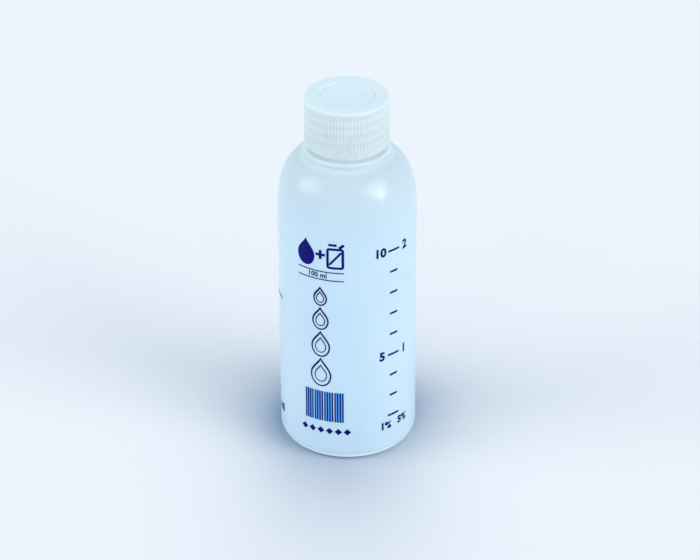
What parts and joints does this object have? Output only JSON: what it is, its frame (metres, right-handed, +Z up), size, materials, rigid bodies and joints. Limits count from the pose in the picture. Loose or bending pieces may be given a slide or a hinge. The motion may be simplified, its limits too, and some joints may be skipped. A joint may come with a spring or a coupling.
{
  "type": "measuring bottle",
  "caption": "Tall round translucent plastic bottle with a graduated wall, a domed shoulder, a threaded neck and a ribbed screw cap, for measuring out oil.",
  "frame": {"origin": "centre of the standing ring, on the surface that the bottle stands on", "axes": "+Z up along the bottle's axis, -Y towards the printed front, +X to the right of the front"},
  "size_m": [0.0436, 0.0436, 0.1207],
  "materials": {
    "bottle": "natural translucent polyethylene, satin",
    "sealing_disc": "soft white closed-cell foam",
    "screw_cap": "natural translucent polypropylene, satin"
  },
  "bodies": {
    "bottle": {"bottle": "bottle"},
    "disc": {"sealing_disc": "sealing_disc"},
    "cap": {"screw_cap": "screw_cap"}
  },
  "joints": [
    {"name": "cap_lift", "type": "slide", "parent": "bottle", "child": "disc", "axis": [0, 0, 1], "range_m": [0, 0.015]},
    {"name": "cap_turn", "type": "hinge", "parent": "disc", "child": "cap", "pos_m": [0, 0, 0.105], "axis": [0, 0, 1], "range_deg": [0, 1800]}
  ],
  "couplings": [
    {"joint": "cap_lift", "follows": "cap_turn", "m_per_rad": 0.00047746}
  ]
}
